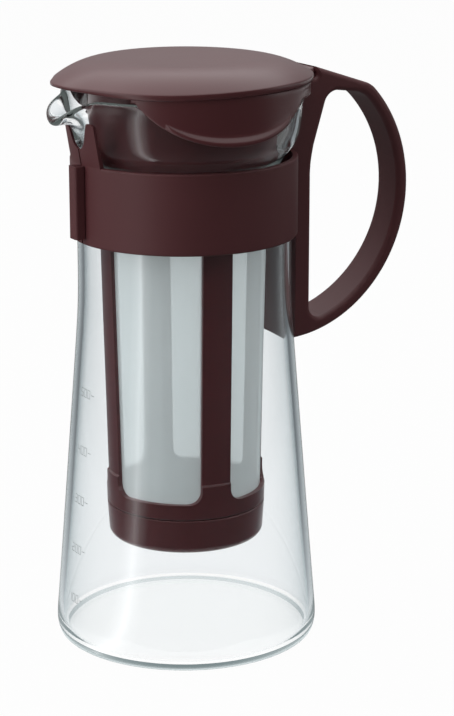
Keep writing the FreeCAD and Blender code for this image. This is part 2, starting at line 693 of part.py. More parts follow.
# ------------------------------------------------------------------ lid
def lid(d):
    """Domed lid with a point over the spout, a tab at the handle and two finger skirts."""
    edge_top = d.lid_edge_bottom + d.lid_edge
    dish = lid_top(d) - d.dish_depth
    shoulder_z = lid_top(d) - d.shoulder_drop
    past_tip = d.lid_tip + d.beyond
    dome = revolved("lid_dome", [
        (0, dish),
        (0, dish - d.lid_wall),
        (d.dome_ring, lid_top(d) - d.lid_wall - d.ring_relief, d.ring_round_inside),
        (d.shoulder_radius, shoulder_z - d.lid_wall, d.dome_round_inside),
        (d.brim_radius - d.lid_wall, d.lid_edge_bottom, d.brim_round_inside),
        (past_tip, d.lid_edge_bottom),
        (past_tip, edge_top),
        (d.brim_radius, edge_top + d.brim_rise, d.brim_round),
        (d.shoulder_radius, shoulder_z, d.dome_round),
        (d.dome_ring, lid_top(d), d.ring_round),
        (d.dish_radius, dish, d.dish_round),
    ])
    disc = common("lid_disc", dome, lid_plan(d))
    tab = extruded_up("lid_tab", [
        (d.lid_radius - d.tab_overlap, -d.tab_half_width),
        (d.tab_reach, -d.tab_half_width, d.tab_corner),
        (d.tab_reach, d.tab_half_width, d.tab_corner),
        (d.lid_radius - d.tab_overlap, d.tab_half_width),
    ], d.lid_edge_bottom, d.lid_edge)
    cup_inside = d.cup_radius - d.cup_wall
    plug_outside = cup_inside - d.plug_gap
    plug_low = d.lid_edge_bottom - d.plug_depth
    plug = revolved("lid_plug", [
        (plug_outside - d.plug_wall, shoulder_z),
        (plug_outside - d.plug_wall, plug_low),
        (plug_outside - d.plug_wall / 4, plug_low),
        (plug_outside, plug_low + d.plug_wall),
        (plug_outside, shoulder_z),
    ])
    return fused("lid_moulding", disc, tab, plug, skirts(d))


def lid_plan(d):
    """Plate with the lid's outline from above: round, and drawn out to a point over the spout."""
    low = d.lid_edge_bottom - d.beyond
    height = d.lid_rise + d.beyond * 2
    rounded = doc.addObject("Part::Cylinder", "plan_round")
    bind(rounded, "Radius", d.lid_radius)
    bind(rounded, "Height", height)
    bind(rounded, "Placement.Base.z", low)
    touch_x = d.lid_radius * d.lid_radius / d.lid_tip
    touch_y = (d.lid_radius * d.lid_radius - touch_x * touch_x).root()
    point = extruded_up("plan_point", [
        (-d.lid_tip, 0, d.lid_tip_round),
        (-touch_x, -touch_y),
        (0, 0),
        (-touch_x, touch_y),
    ], low, height)
    return fused("lid_plan", rounded, point)


def extruded_up(name, corners, bottom, thickness):
    """A flat plate of an outline in the XY plane, from one height upwards."""
    plate = doc.addObject("Part::Extrusion", name)
    plate.Base = free_sketch(name + "_outline", Rotation(), corners)
    plate.DirMode = "Custom"
    plate.Dir = Vector(0, 0, 1)
    plate.Solid = True
    bind(plate, "LengthFwd", thickness)
    bind(plate, "Placement.Base.z", bottom)
    return plate


def skirts(d):
    """Two curved skirts outside the glass, each with a flared lip to lift the lid by."""
    inside = d.rim_radius + d.bead_proud + d.skirt_gap
    outside = inside + d.skirt_wall
    bottom = d.skirt_bottom - d.beyond
    top = d.lid_edge_bottom + d.lid_edge / 2
    wall = revolved("skirt_ring", [
        (inside, bottom),
        (outside, bottom),
        (outside, d.apron_bottom, d.skirt_blend),
        (outside + d.skirt_taper, top),
        (inside, top),
    ])
    flared = revolved("lip_ring", [
        (inside, d.skirt_bottom),
        (outside + d.lip_flare, d.skirt_bottom, d.lip_edge),
        (outside + d.lip_flare, top),
        (inside, top),
    ])
    depth = (d.lid_radius + d.beyond) * 2
    centre_z = d.skirt_bottom + d.smile_radius
    ends = extruded("skirt_ends", XZ, [
        (d.skirt_end_low, bottom),
        (d.lid_radius + d.beyond, bottom),
        (d.lid_radius + d.beyond, top),
        (d.skirt_end_top, top),
        (d.skirt_end_low, d.skirt_bottom + d.lip_height, d.skirt_end_round),
    ], depth)
    smile = common("smile_cut", ends, cylinder_across(
        "smile", d.smile_radius, depth, d.smile_shift, centre_z))
    inner_smile = cylinder_across("smile_inner", d.smile_radius - d.lip_height, depth,
                                  d.smile_shift, centre_z)
    skirt = common("skirt_wall", wall, smile)
    lip = cut("skirt_lip", common("lip_blank", flared, smile), inner_smile)
    return fused("skirts", skirt, lip, *aprons(wall, d, top))


def aprons(wall, d, top):
    """Low walls from the skirts to both sides of the handle's spine."""
    half = half_width(d, d.waist_radius) + d.skirt_gap
    pieces = []
    for side, word in ((1, "far"), (-1, "near")):
        block = doc.addObject("Part::Box", "apron_block_" + word)
        bind(block, "Length", d.lid_radius)
        bind(block, "Width", d.lid_radius)
        bind(block, "Height", top - d.apron_bottom)
        bind(block, "Placement.Base.x", d.apron_start)
        bind(block, "Placement.Base.y", half if side > 0 else -half - d.lid_radius)
        bind(block, "Placement.Base.z", d.apron_bottom)
        pieces.append(common("apron_" + word, wall, block))
    return pieces


# ------------------------------------------------------------------ strainer
def basket_radius(d, z):
    """Outer radius of the basket's ribs at a height between seam and collar."""
    slope = (d.collar_radius - d.basket_foot_radius) / (d.window_top - d.window_bottom)
    return d.basket_foot_radius + slope * (size(z) - d.window_bottom)


def strainer_frame(d):
    """Cup that rests in the jug's waist, four ribs and a bottom ring."""
    wall = d.collar_wall
    seat_z = d.cup_foot_z - (d.cup_foot_radius - d.collar_radius)
    ring_z = d.ring_top - d.ring_proud
    moulding = revolved("strainer_wall", [
        (basket_radius(d, d.seam_z) - wall, d.seam_z),
        (basket_radius(d, d.seam_z) + d.ring_proud, d.seam_z, d.ring_edge),
        (basket_radius(d, ring_z) + d.ring_proud, ring_z),
        (basket_radius(d, d.ring_top), d.ring_top),
        (d.collar_radius, d.window_top),
        (d.collar_radius, seat_z),
        (d.cup_foot_radius, d.cup_foot_z, d.seat_round),
        (d.cup_radius, d.lid_edge_bottom - d.seat_gap),
        (d.cup_radius - d.cup_wall, d.lid_edge_bottom - d.seat_gap),
        (d.cup_foot_radius - d.cup_wall, d.cup_foot_z, d.seat_round),
        (d.collar_radius - wall, seat_z),
        (d.collar_radius - wall, d.window_top),
    ])
    windows = [window(d, "frame_%d" % quarter, quarter) for quarter in range(4)]
    return turned_strainer(cut("strainer_moulding", moulding, fused("windows", *windows)), d)


def basket_wall(name, d, inset, thickness):
    """Tapered wall over the height of the windows."""
    top = basket_radius(d, d.window_top) - inset
    foot = basket_radius(d, d.window_bottom) - inset
    return revolved(name, [
        (foot - thickness, d.window_bottom),
        (foot, d.window_bottom),
        (top, d.window_top),
        (top - thickness, d.window_top),
    ])


def window(d, word, quarter):
    """Space between two ribs, with rounded lower corners."""
    block = doc.addObject("Part::Box", "window_block_" + word)
    bind(block, "Length", d.cup_radius)
    bind(block, "Width", d.cup_radius)
    bind(block, "Height", d.window_top - d.window_bottom)
    half = d.rib_width / 2
    reach = half + d.cup_radius
    starts = [(half, half), (-reach, half), (-reach, -reach), (half, -reach)]
    bind(block, "Placement.Base.x", starts[quarter][0])
    bind(block, "Placement.Base.y", starts[quarter][1])
    bind(block, "Placement.Base.z", d.window_bottom)
    return filleted("window_" + word, block, [
        (lambda edge: beside_rib(edge, d), d.window_corner),
    ])


def beside_rib(edge, d):
    """Whether an edge of a window's block lies at the window's foot, along a rib."""
    middle = edge_middle(edge)
    half = d.rib_width.value / 2
    near = min(abs(abs(middle.x) - half), abs(abs(middle.y) - half)) < SAME
    return near and abs(middle.z - d.window_bottom.value) < SAME


def turned_strainer(item, d):
    """Turn a piece of the strainer about the jug's axis."""
    bind(item, "Placement.Rotation.Angle", d.strainer_turn)
    return item


def mesh_panel(d, word, quarter):
    """Mesh between two ribs."""
    ring = basket_wall("mesh_wall_" + word, d, d.mesh_inset, d.mesh_thickness)
    return turned_strainer(common("mesh_piece_" + word, ring, window(d, word, quarter)), d)


def strainer_cap(d):
    """Solid cap that closes the bottom of the basket."""
    body = doc.addObject("PartDesign::Body", "cap_body")
    inner_rim = basket_radius(d, d.seam_z)
    rim = inner_rim + d.ring_proud
    top = d.seam_z - d.spigot_gap
    spigot = inner_rim - d.collar_wall - d.spigot_gap
    floor = d.cap_bottom + d.cap_wall
    outline = body_sketch(body, "cap_outline", "XZ_Plane", [
        (0, d.cap_bottom),
        (d.cap_foot_radius, d.cap_bottom, d.cap_corner),
        (rim, top, d.ring_edge),
        (spigot, top),
        (spigot, top + d.spigot_height, d.ring_edge),
        (spigot - d.cap_wall, top + d.spigot_height),
        (spigot - d.cap_wall, floor, d.cap_corner_inside),
        (0, floor),
    ])
    turn = body.newObject("PartDesign::Revolution", "cap_turned")
    turn.Profile = outline
    turn.ReferenceAxis = (origin_item(body, "Z_Axis"), [""])
    turn.Angle = 360
    return body


# ------------------------------------------------------------------ build
doc = FreeCAD.newDocument("cold_brew_coffee_maker")


def build():
    """Make every piece, check it and write it."""
    os.makedirs("parts", exist_ok=True)
    sheet = doc.addObject("Spreadsheet::Sheet", "Dims")
    d = Dimensions(sheet)
    doc.recompute()
    pieces = {
        "carafe": carafe(d),
        "handle_band": handle_band(d),
        "band_clip": band_clip(d),
        "lid": lid(d),
        "strainer_frame": strainer_frame(d),
        "mesh_back_right": mesh_panel(d, "back_right", 0),
        "mesh_back_left": mesh_panel(d, "back_left", 1),
        "mesh_front_left": mesh_panel(d, "front_left", 2),
        "mesh_front_right": mesh_panel(d, "front_right", 3),
        "strainer_cap": strainer_cap(d),
    }
    for name, piece in pieces.items():
        piece.Label = name
    doc.recompute()
    failed = [item.Name for item in doc.Objects if {"Invalid", "Error"} & set(item.State)]
    if failed:
        raise SystemExit("failed objects: %s" % ", ".join(failed))
    for name, piece in pieces.items():
        shape = piece.Shape
        if shape.isNull() or not shape.isValid() or len(shape.Solids) != 1:
            raise SystemExit("%s is not one valid solid: %d" % (name, len(shape.Solids)))
    for name, piece in pieces.items():
        piece.Shape.exportStep("parts/%s.step" % name)
        box = piece.Shape.optimalBoundingBox(False)
        print("%-18s %9.0f mm3  x %.1f..%.1f  y %.1f..%.1f  z %.1f..%.1f" % (
            name, piece.Shape.Volume, box.XMin, box.XMax, box.YMin, box.YMax, box.ZMin, box.ZMax))


build()
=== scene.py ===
import math
import bpy
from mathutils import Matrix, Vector


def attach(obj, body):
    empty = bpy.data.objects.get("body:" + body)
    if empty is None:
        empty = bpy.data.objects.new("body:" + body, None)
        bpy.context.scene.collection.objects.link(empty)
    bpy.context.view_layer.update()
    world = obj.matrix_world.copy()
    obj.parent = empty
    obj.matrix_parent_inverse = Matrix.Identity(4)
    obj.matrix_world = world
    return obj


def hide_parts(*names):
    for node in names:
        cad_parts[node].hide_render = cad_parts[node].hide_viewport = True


# Cold brew coffee maker: blown glass jug, brown mouldings and fine filter mesh.
# The tables of the shapes are in millimetres and degrees, everything else is in metres and radians.
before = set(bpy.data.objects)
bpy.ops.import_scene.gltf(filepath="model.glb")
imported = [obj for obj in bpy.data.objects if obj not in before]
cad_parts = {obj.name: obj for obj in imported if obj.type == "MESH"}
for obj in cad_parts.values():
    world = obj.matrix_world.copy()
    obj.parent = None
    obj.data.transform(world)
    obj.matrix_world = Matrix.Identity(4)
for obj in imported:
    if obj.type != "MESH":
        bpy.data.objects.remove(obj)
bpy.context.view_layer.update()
MM = 0.001
WHITE = (1.0, 1.0, 1.0)
CAMERA_TURN = math.radians(28.5)
SIGHT = math.pi / 2 - CAMERA_TURN


# ------------------------------------------------------------------ shader maths
class Signal:
    """A shader socket in an expression; each operator adds its own Math node."""

    def __init__(self, finish, socket):
        self.finish = finish
        self.socket = socket

    def math(self, operation, *terms):
        return self.finish.add("ShaderNodeMath", {"operation": operation}, *terms)

    def __add__(self, other):
        return self.math("ADD", self, other)

    def __sub__(self, other):
        return self.math("SUBTRACT", self, other)

    def __rsub__(self, other):
        return self.math("SUBTRACT", other, self)

    def __mul__(self, other):
        return self.math("MULTIPLY", self, other)

    def __truediv__(self, other):
        return self.math("DIVIDE", self, other)

    def __pow__(self, other):
        return self.math("POWER", self, other)

    def __abs__(self):
        return self.math("ABSOLUTE", self)

    def __neg__(self):
        return self.math("MULTIPLY", self, -1.0)

    def __lt__(self, other):
        return self.math("LESS_THAN", self, other)

    def __gt__(self, other):
        return self.math("GREATER_THAN", self, other)

    __radd__ = __add__
    __rmul__ = __mul__

    def sine(self):
        return self.math("SINE", self)

    def at_least(self, other):
        return self.math("MAXIMUM", self, other)

    def angle_from(self, other):
        """Angle whose sine goes with this value and whose cosine goes with the other."""
        return self.math("ARCTAN2", self, other)

    def part(self, name):
        """One of X, Y and Z of a vector."""
        return self.finish.add("ShaderNodeSeparateXYZ", {"take": name}, self)


class Finish:
    """A material, or the world's surroundings, under construction."""

    def __init__(self, name, world=None):
        self.material = world or bpy.data.materials.new(name)
        self.end = "ShaderNodeOutputWorld" if world else "ShaderNodeOutputMaterial"
        self.material.use_nodes = True
        self.tree = self.material.node_tree
        self.tree.nodes.clear()

    def add(self, kind, settings=None, *values, **named):
        """Adds a node: its settings first, then values or links for the sockets that are then in use."""
        node = self.tree.nodes.new(kind)
        take = None
        for key, value in (settings or {}).items():
            if key == "take":
                take = value
            elif key == "stops":
                self.set_stops(node, value)
            else:
                setattr(node, key, value)
        in_use = [socket for socket in node.inputs if socket.enabled]
        for socket, value in zip(in_use, values):
            self.feed(socket, value)
        for key, value in named.items():
            self.feed(node.inputs[key.replace("_", " ")], value)
        given = [socket for socket in node.outputs if socket.enabled and take in (None, socket.name)]
        return Signal(self, given[0]) if given else None

    def set_stops(self, node, stops):
        """Places a colour ramp's stops: (position, colour)."""
        ramp = node.color_ramp
        while len(ramp.elements) > 1:
            ramp.elements.remove(ramp.elements[-1])
        for index, (position, colour) in enumerate(stops):
            mark = ramp.elements[0] if index == 0 else ramp.elements.new(position)
            mark.position = position
            mark.color = tuple(colour) + (1,)

    def feed(self, socket, value):
        """Links a signal to a socket, or sets the socket's own value."""
        if isinstance(value, Signal):
            self.tree.links.new(value.socket, socket)
        elif hasattr(socket.default_value, "__len__") and len(value) == 3 and len(socket.default_value) == 4:
            socket.default_value = tuple(value) + (1,)
        else:
            socket.default_value = value

    def done(self, surface, **named):
        """Joins the shader to the output and hands over the finished material."""
        self.add(self.end, {}, Surface=surface, **named)
        return self.material

    def ray(self, question):
        """What the Light Path node says of the ray that arrives."""
        return self.add("ShaderNodeLightPath", {"take": question})

    def place(self):
        """Position on the object."""
        return self.add("ShaderNodeTexCoord", {"take": "Object"})

    def from_axis(self):
        """Distance from the jug's axis."""
        place = self.place()
        return (place.part("X") ** 2 + place.part("Y") ** 2) ** 0.5

    def behind_axis(self):
        """How far a point lies beyond the jug's axis, towards the white panel."""
        place = self.place()
        return place.part("X") * math.cos(SIGHT) + place.part("Y") * math.sin(SIGHT)

    def beside_axis(self):
        """How far a point lies to the right of the jug's axis, seen towards the white panel."""
        place = self.place()
        return place.part("X") * math.sin(SIGHT) - place.part("Y") * math.cos(SIGHT)

    def noise(self, scale, detail):
        return self.add("ShaderNodeTexNoise", {"noise_dimensions": "3D"},
                        Vector=self.place(), Scale=scale, Detail=detail)

    def fade(self, value, start, end, at_start=0.0, at_end=1.0):
        """A value's even change from one level to another between two limits."""
        return self.add("ShaderNodeMapRange", {}, value, start, end, at_start, at_end)

    def tint(self, factor, first, second, way="MIX"):
        """Colour between two colours, or the two joined in another of the Mix node's ways."""
        return self.add("ShaderNodeMix", {"data_type": "RGBA", "blend_type": way}, factor, first, second)

    def stronger(self, colour, factor):
        """A colour made stronger or weaker."""
        return self.add("ShaderNodeVectorMath", {"operation": "SCALE"}, colour, factor)

    def ramp(self, value, stops):
        return self.add("ShaderNodeValToRGB", {"stops": stops}, value)

    def bump(self, height, distance, strength):
        return self.add("ShaderNodeBump", {}, Height=height, Distance=distance, Strength=strength)

    def skin(self, **named):
        return self.add("ShaderNodeBsdfPrincipled", {}, **named)

    def light(self, colour):
        return self.add("ShaderNodeEmission", {}, Color=colour, Strength=1.0)

    def blend(self, factor, first, second):
        """Two shaders mixed."""
        return self.add("ShaderNodeMixShader", {}, factor, first, second)


# ------------------------------------------------------------------ finishes
BROWN = (0.087, 0.021, 0.024)
BROWN_DRIFT = 0.12
CLOUD_SCALE, CLOUD_DETAIL = 22.0, 3.0
GRAIN_SCALE, GRAIN_DETAIL = 2600.0, 2.0
GRAIN_DEPTH, GRAIN_STRENGTH = 0.000012, 0.6
GRAIN_SHARE = 0.35
SKIN_DRIFT = 0.12
PLASTIC_BENDING = 1.5
GATE_RADIUS, GATE_SINK = 0.0016, 6.0


def brown_moulding(name, roughness, gloss=0.5, gate=False):
    """Injection-moulded brown plastic with a satin skin, with or without the gate's mark on the axis."""
    finish = Finish(name)
    drift = finish.noise(CLOUD_SCALE, CLOUD_DETAIL)
    grain = finish.noise(GRAIN_SCALE, GRAIN_DETAIL)
    darker = [(1 - BROWN_DRIFT) * part for part in BROWN]
    lighter = [(1 + BROWN_DRIFT) * part for part in BROWN]
    evenness = grain * GRAIN_SHARE + drift * (1 - GRAIN_SHARE)
    height = grain
    if gate:
        height = grain - (finish.from_axis() < GATE_RADIUS) * GATE_SINK
    return finish.done(finish.skin(
        Base_Color=finish.tint(drift, darker, lighter),
        Roughness=roughness - SKIN_DRIFT / 2 + evenness * SKIN_DRIFT, IOR=PLASTIC_BENDING,
        Specular_IOR_Level=gloss, Normal=finish.bump(height, GRAIN_DEPTH, GRAIN_STRENGTH)))


GLASS_BENDING = 1.47
GLASS_EDGE = (0.55, 0.69, 0.73)
GLASS_EDGE_FALL = 3
GLASS_BODY, GLASS_DENSITY = (0.6, 0.72, 0.73), 6.0
WAVE_SCALE, WAVE_DETAIL, WAVE_DEPTH, WAVE_STRENGTH = 34.0, 1.0, 0.00008, 0.35
# light that is caught in the wall for more turns than this gets painted light in its place, and that painted
# light's colour at the foot's near side, at the foot's far side and at the rim
TRAPPED_AFTER = 5
PAINTED_FOOT_NEAR, PAINTED_FOOT_FAR, PAINTED_RIM_LIGHT = (0.2, 0.25, 0.26), (0.74, 0.79, 0.8), (0.11, 0.125, 0.12)
FOOT_END, RIM_START = 0.02, 0.15
NEAR_END, FAR_START = -0.01, 0.035


def blown_glass(name):
    """Clear heat-proof glass, a little wavy, a touch grey-blue where it is seen edge-on; rays caught in the
    wall get painted light, pale at the foot's far side, dim at its near side and dark at the rim.
    """
    finish = Finish(name)
    edge_on = finish.add("ShaderNodeLayerWeight", {"take": "Facing"}, Blend=0.5) ** GLASS_EDGE_FALL
    clear = finish.skin(
        Base_Color=finish.tint(edge_on, WHITE, GLASS_EDGE), Roughness=0.0, IOR=GLASS_BENDING,
        Transmission_Weight=1.0,
        Normal=finish.bump(finish.noise(WAVE_SCALE, WAVE_DETAIL), WAVE_DEPTH, WAVE_STRENGTH))
    up_the_jug = finish.fade(finish.place().part("Z"), FOOT_END, RIM_START)
    rear = finish.fade(finish.behind_axis(), NEAR_END, FAR_START)
    at_foot = finish.tint(rear, PAINTED_FOOT_NEAR, PAINTED_FOOT_FAR)
    # painted light and shade in place of the light caught in the wall: dim at the foot's near side, pale at
    # its far side, dark up at the rim
    painted_trapped_light = finish.light(finish.tint(up_the_jug, at_foot, PAINTED_RIM_LIGHT))
    trapped = finish.ray("Ray Depth") > TRAPPED_AFTER
    body = finish.add("ShaderNodeVolumeAbsorption", {}, GLASS_BODY, GLASS_DENSITY)
    return finish.done(finish.blend(trapped, clear, painted_trapped_light), Volume=body)


MESH_PITCH, MESH_RADIUS = 0.0004, 0.028
MESH_DRIFT_SCALE, MESH_DRIFT_DETAIL = 30.0, 2.0
MESH_GREY, MESH_PALE = (0.74, 0.83, 0.85), (0.80, 0.88, 0.90)
MESH_ROUGHNESS, THREAD_SHINE = 0.75, 0.15
MESH_COVER, THREAD_COVER = 0.36, 0.09
# painted glow of the mesh, its strength and colour: light painted in for the backlight the threads pass on
MESH_PAINTED_BACKLIGHT, MESH_PAINTED_BACKLIGHT_COLOUR = 0.18, (0.92, 1.0, 1.0)
THREAD_DEPTH, THREAD_STRENGTH = 0.00006, 0.4


def filter_mesh(name):
    """Fine woven filter mesh: crossing threads with light coming through between them, and an even painted
    glow for the backlight that the threads pass on.
    """
    finish = Finish(name)
    place = finish.place()
    around_axis = place.part("Y").angle_from(place.part("X"))
    warp = (around_axis * (2 * math.pi * MESH_RADIUS / MESH_PITCH)).sine()
    weft = (place.part("Z") * (2 * math.pi / MESH_PITCH)).sine()
    threads = (abs(warp) + abs(weft)) * 0.5
    drift = finish.noise(MESH_DRIFT_SCALE, MESH_DRIFT_DETAIL)
    return finish.done(finish.skin(
        Base_Color=finish.tint(drift, MESH_GREY, MESH_PALE),
        Roughness=MESH_ROUGHNESS - threads * THREAD_SHINE, Alpha=MESH_COVER + threads * THREAD_COVER,
        Emission_Color=MESH_PAINTED_BACKLIGHT_COLOUR, Emission_Strength=MESH_PAINTED_BACKLIGHT,
        Normal=finish.bump(warp * weft, THREAD_DEPTH, THREAD_STRENGTH)))


ENAMEL_WORN, ENAMEL_FRESH = (0.30, 0.33, 0.34), (0.42, 0.45, 0.46)
WEAR_SCALE, WEAR_DETAIL = 900.0, 2.0
ENAMEL_ROUGHNESS, WEAR_ROUGHNESS = 0.5, 0.2


def mark_enamel(name):
    """Grey-white enamel of the measuring marks."""
    finish = Finish(name)
    wear = finish.noise(WEAR_SCALE, WEAR_DETAIL)
    return finish.done(finish.skin(
        Base_Color=finish.tint(wear, ENAMEL_WORN, ENAMEL_FRESH),
        Roughness=ENAMEL_ROUGHNESS + wear * WEAR_ROUGHNESS))


# ------------------------------------------------------------------ meshes
def new_object(name, points, faces, material):
    """A mesh object with its material, in the scene."""
    mesh = bpy.data.meshes.new(name)
    mesh.from_pydata(points, [], faces)
    mesh.materials.append(material)
    thing = bpy.data.objects.new(name, mesh)
    bpy.context.scene.collection.objects.link(thing)
    return thing


def new_piece(name, points, faces, material, body, rounding=0):
    """A smooth mesh object that rides on a body, with its corners rounded by subdivision."""
    piece = new_object(name, points, faces, material)
    piece.data.validate()
    piece.data.shade_smooth()
    if rounding:
        smooth = piece.modifiers.new("rounding", "SUBSURF")
        smooth.levels = smooth.render_levels = rounding
    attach(piece, body)
    return piece


def on_circle(radius, turn, height):
    """A point in metres from a radius and a height in millimetres and an angle round the jug's axis."""
    return (radius * math.cos(turn) * MM, radius * math.sin(turn) * MM, height * MM)


def lathe(rows, columns, place):
    """Points and faces of a skin whose rows go round the axis; the first and last rows are poles."""
    points = [place(rows[0], 0.0)]
    for row in rows[1:-1]:
        points += [place(row, 2 * math.pi * column / columns) for column in range(columns)]
    points.append(place(rows[-1], 0.0))
    faces = []
    rings = len(rows) - 2
    last = 1 + (rings - 1) * columns
    for column in range(columns):
        following = (column + 1) % columns
        faces.append((0, 1 + following, 1 + column))
        for ring in range(rings - 1):
            low = 1 + ring * columns
            high = low + columns
            faces.append((low + column, low + following, high + following, high + column))
        faces.append((last + column, last + following, len(points) - 1))
    return points, faces


# outer skin, rim and inner skin of the jug: (radius, height) and, where the spout draws it out,
# the same point in the middle of the spout
JUG = [
    ((0, 0.3),), ((22, 0.3),), ((36, 0.25),), ((40.6, 0.15),), ((42.4, 0.05),), ((43.8, 0.02),),
    ((45.0, 0.12),), ((45.9, 0.6),), ((46.45, 1.8),), ((46.75, 4.0),), ((46.7, 7.0),), ((46.25, 12),),
    ((44.7, 30),),
    ((42.2, 60),), ((39.75, 90),), ((38.2, 109),), ((37.55, 118),), ((37.25, 126),), ((37.2, 136),),
    ((37.2, 150),), ((36.95, 157),), ((35.7, 161.5),), ((34.1, 165),), ((33.2, 167.6),), ((33.1, 169.4),),
    ((33.9, 171.3),), ((35.6, 173.6),), ((37.6, 175.8),),
    ((39.0, 178.0), (39.0, 178.0)), ((39.8, 181.5), (39.8, 181.4)), ((40.5, 186.0), (40.8, 184.6)),
    ((41.0, 190.5), (43.7, 186.3)), ((41.6, 192.8), (47.1, 186.4)), ((42.15, 193.9), (49.4, 186.0)),
    ((42.15, 194.9), (50.3, 186.9)), ((41.3, 195.5), (50.1, 188.4)), ((40.2, 195.2), (48.7, 189.3)),
    ((39.5, 193.6), (46.0, 189.4)), ((39.0, 190.5), (42.6, 188.6)), ((38.4, 186.0), (39.5, 186.0)),
    ((37.5, 180.6), (37.7, 181.1)),
    ((36.3, 177.4),), ((34.9, 175.0),), ((33.0, 172.4),), ((31.6, 170.6),), ((30.95, 169.2),), ((31.3, 167),),
    ((32.4, 164),), ((33.9, 160.5),), ((34.8, 156.5),), ((35.0, 151),), ((35.0, 136),), ((35.05, 126),),
    ((35.35, 118),), ((36.0, 109),), ((37.55, 90),), ((40.0, 60),), ((42.5, 30),), ((44.1, 13),),
    ((44.5, 8.5),), ((44.55, 5.8),), ((44.3, 3.9),), ((43.6, 2.7),), ((42.4, 1.95),), ((40.5, 1.65),),
    ((35, 1.6),), ((20, 1.6),), ((0, 1.6),),
]
JUG_COLUMNS = 128
# angles either side of the -X direction: the spout's half width and the run of its shoulders, and the half
# width of its droop with the power that rounds it
SPOUT_HALF, SPOUT_SHOULDER = 12.2, 4.3
DROOP_HALF, DROOP_POWER = 10.6, 2.4


def off_spout(turn):
    """Angle between a direction round the axis and the spout, in radians."""
    return abs(math.remainder(turn - math.pi, 2 * math.pi))


def jug_point(row, turn):
    """A point of the jug's skin, drawn out into the spout round the -X side."""
    radius, height = row[0]
    if len(row) == 2:
        off = math.degrees(off_spout(turn))
        wide = 0.5 * (1 - math.tanh((off - SPOUT_HALF) / SPOUT_SHOULDER))
        deep = math.exp(-(off / DROOP_HALF) ** DROOP_POWER)
        radius += (row[1][0] - radius) * wide
        height += (row[1][1] - height) * deep
    return on_circle(radius, turn, height)


def make_jug(material):
    points, faces = lathe(JUG, JUG_COLUMNS, jug_point)
    jug = new_piece("blown_jug", points, faces, material, "jug", rounding=2)
    jug.visible_shadow = False
    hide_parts("carafe")


# the lid from the middle of its top round its edge to the middle of its underside: the crown by its radius,
# the slope and the lip by their distance in from the edge, the lip also by its drop, the hollow by its place
DOME = [("crown", radius, 0) for radius in (0, 9, 16, 21, 24.5, 26.2, 27.2, 28.6)]
DOME += [("slope", inset, 0) for inset in (12.5, 9.5, 6.8, 4.4, 2.5, 1.1, 0.45, 0.12)]
DOME += [("lip", inset, drop) for inset, drop in (
    (0.0, 0.18), (-0.02, 0.7), (0.05, 1.45), (0.3, 1.9), (0.8, 2.05), (2.2, 1.85))]
DOME += [("hollow", radius, height) for radius, height in (
    (41.0, 198.1), (40.2, 198.8), (38.6, 200.2), (35.5, 202.0), (30, 203.3), (20, 203.9), (0, 203.9))]
DOME_COLUMNS = 120
CROWN_HEIGHT, CROWN_FLAT, CROWN_FALL = 206.0, 22.8, 2.57
DISH_DEPTH, DISH_RADIUS = 0.1, 27.0
# the lid's edge: a circle that is drawn out and lifted over the spout, sways along its length and tips back
EDGE_RADIUS, BEAK_REACH, BEAK_HALF, BEAK_POWER = 44.4, 3.55, 16.6, 2.6
EDGE_HEIGHT, BEAK_LIFT, LIFT_HALF = 199.24, 3.0, 47.4
EDGE_SWAY, EDGE_TIP = 0.69, 1.76
LIP_THINNED, THIN_HALF = 0.45, 22


def lid_edge(turn):
    """Radius and height of the lid's edge, and how deep its lip is."""
    off = off_spout(turn)
    degrees = math.degrees(off)
    radius = EDGE_RADIUS + BEAK_REACH * math.exp(-(degrees / BEAK_HALF) ** BEAK_POWER)
    lift = BEAK_LIFT * math.exp(-(degrees / LIFT_HALF) ** 2)
    height = EDGE_HEIGHT + lift - EDGE_SWAY * math.cos(2 * off) - EDGE_TIP * math.cos(off)
    return radius, height, 1 - LIP_THINNED * math.exp(-(degrees / THIN_HALF) ** 2)


def dome_point(row, turn):
    """A point of the lid's skin."""
    zone, first, second = row
    edge_radius, edge_height, lip = lid_edge(turn)
    radius = first if zone in ("crown", "hollow") else edge_radius - first
    if zone == "hollow":
        height = second
    elif zone == "lip":
        height = edge_height - second * lip
    else:
        share = max(0.0, radius - CROWN_FLAT) / (edge_radius - CROWN_FLAT)
        height = CROWN_HEIGHT - (CROWN_HEIGHT - edge_height) * share ** CROWN_FALL
        height -= DISH_DEPTH * max(0.0, 1 - (radius / DISH_RADIUS) ** 2)
    return on_circle(radius, turn, height)


# finger skirt, by the angle off its middle: how far its middle lies from the spout, where it starts and ends,
# and the half span of its ledge
SKIRT_MIDDLE, SKIRT_START, SKIRT_END, LEDGE_HALF = 85.0, -47, 82, 31.0
# its lower edge: lowest height, rise and late flick up, and the height of the low walls it runs into
SKIRT_LOW, SKIRT_RISE, RISE_HALF = 181.8, 5.4, 30
FLICK, FLICK_HALF, FLICK_POWER = 0.9, 40, 8
SPOUT_WALL_LOW, HANDLE_WALL_LOW = 196.2, 193.8
# the crease above its ledge
CREASE_LOW, CREASE_RISE, CREASE_POWER, CREASE_HIGH = 184.9, 5.0, 2.3, 196.6
CREASE_CLEAR, LEDGE_FALL = 0.7, 1.75
# its top, and the top of its straight outer wall
SKIRT_TOP, WALL_TOP = 198.6, 196.7
# its corners from outside to inside: radius, how far the ledge draws it out, the line its height is taken
# from, how far it lies above that, and how far the ledge lowers it
SKIRT = [
    (43.6, 0.0, "top", 0.0, 0.0), (43.5, 0.0, "top", -1.6, 0.0), (43.4, 0.0, "wall", 0.0, 0.0),
    (43.4, 0.0, "crease", 0.35, 0.0), (43.4, 0.25, "crease", 0.0, 0.0), (43.4, 1.4, "crease", 0.0, 1.3),
    (43.4, 1.7, "crease", -0.1, 1.65), (43.4, 1.65, "lower", 0.4, 0.0), (43.3, 1.3, "lower", 0.0, 0.0),
    (42.9, 0.0, "lower", 0.0, 0.0), (42.6, 0.0, "lower", 0.3, 0.0), (42.6, 0.0, "top", 0.0, 0.0),
]


